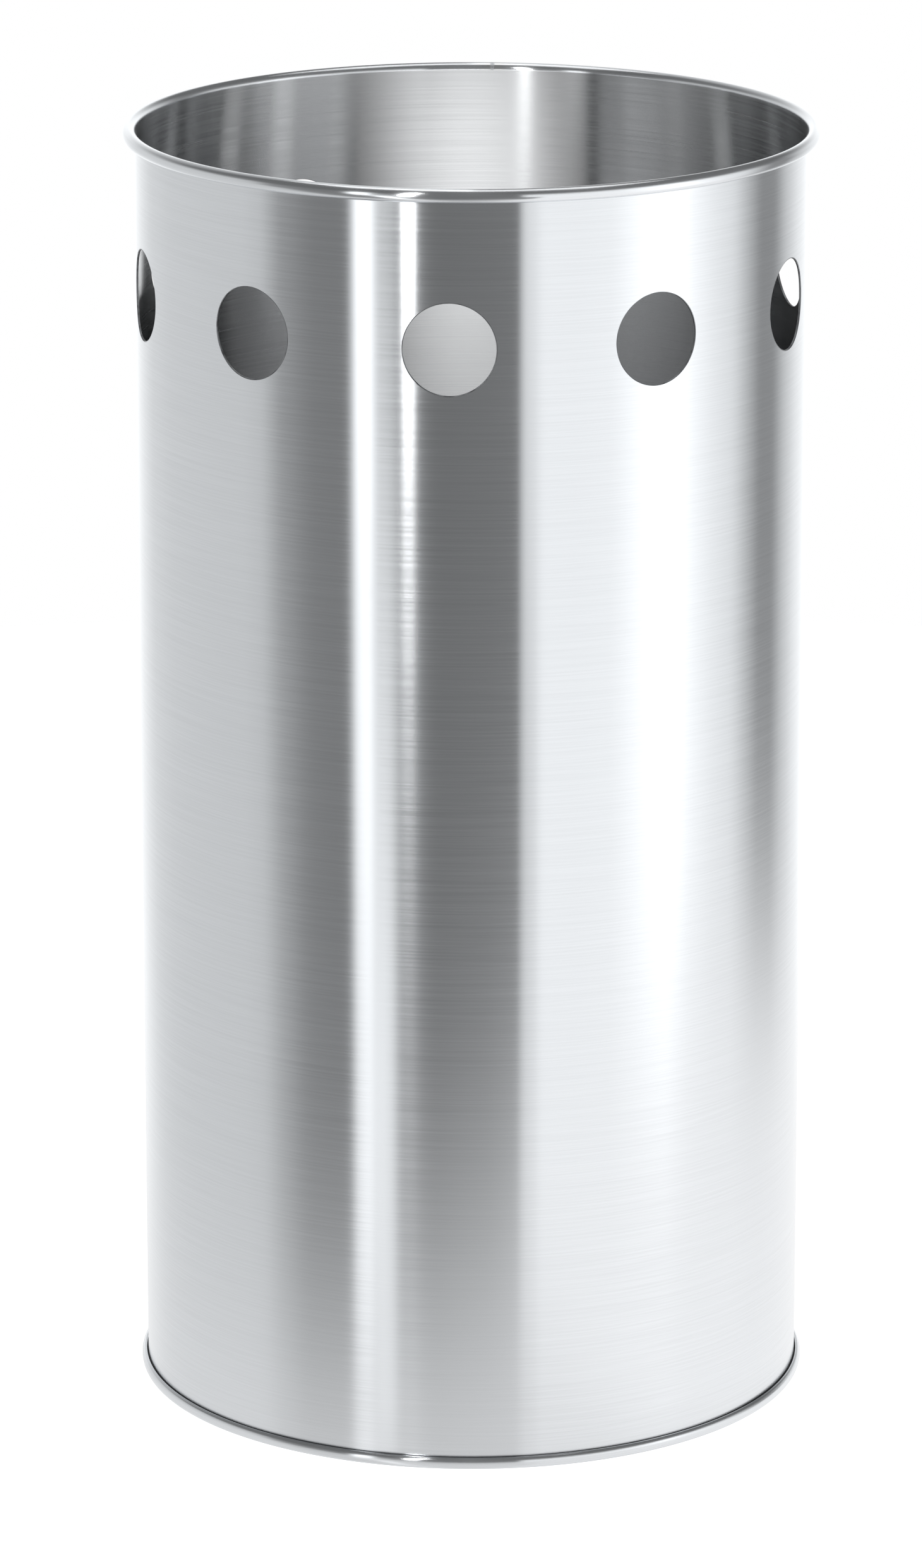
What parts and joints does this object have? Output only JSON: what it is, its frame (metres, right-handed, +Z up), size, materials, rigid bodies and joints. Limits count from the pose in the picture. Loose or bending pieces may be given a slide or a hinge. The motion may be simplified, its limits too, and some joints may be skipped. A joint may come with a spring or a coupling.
{
  "type": "umbrella stand",
  "caption": "Tall round brushed-steel umbrella stand with a rolled rim, a row of round holes below it, a clamped base ring and a lift-out drip tray.",
  "frame": {"origin": "centre of the footprint, on the floor under the feet", "axes": "+Z up along the axis of the tube, -Y through the front hole, +X to the right seen from the front"},
  "size_m": [0.269, 0.2689, 0.504],
  "materials": {
    "brushed_steel": "brushed round the tube, satin",
    "steel_wire": "drawn, bright",
    "gasket_rubber": "matt black",
    "ring_steel": "rolled, satin to bright",
    "plate_steel": "cold-rolled, pressed",
    "foot_rubber": "matt black, moulded",
    "washer_steel": "zinc plated",
    "rivet_aluminium": "bright, set",
    "tray_plastic": "light grey, fine moulded grain"
  },
  "bodies": {
    "stand": {"body_shell": "brushed_steel", "rim_wire": "steel_wire", "edge_gasket": "gasket_rubber", "base_ring": "ring_steel", "bottom_plate": "plate_steel", "foot_right_front": "foot_rubber", "foot_right_rear": "foot_rubber", "foot_left_rear": "foot_rubber", "foot_left_front": "foot_rubber", "foot_washers": "washer_steel", "foot_rivets": "rivet_aluminium"},
    "tray": {"drip_tray": "tray_plastic"}
  },
  "joints": [
    {"name": "tray_lift", "type": "slide", "parent": "stand", "child": "tray", "axis": [0, 0, 1], "range_m": [0, 0.524]}
  ]
}
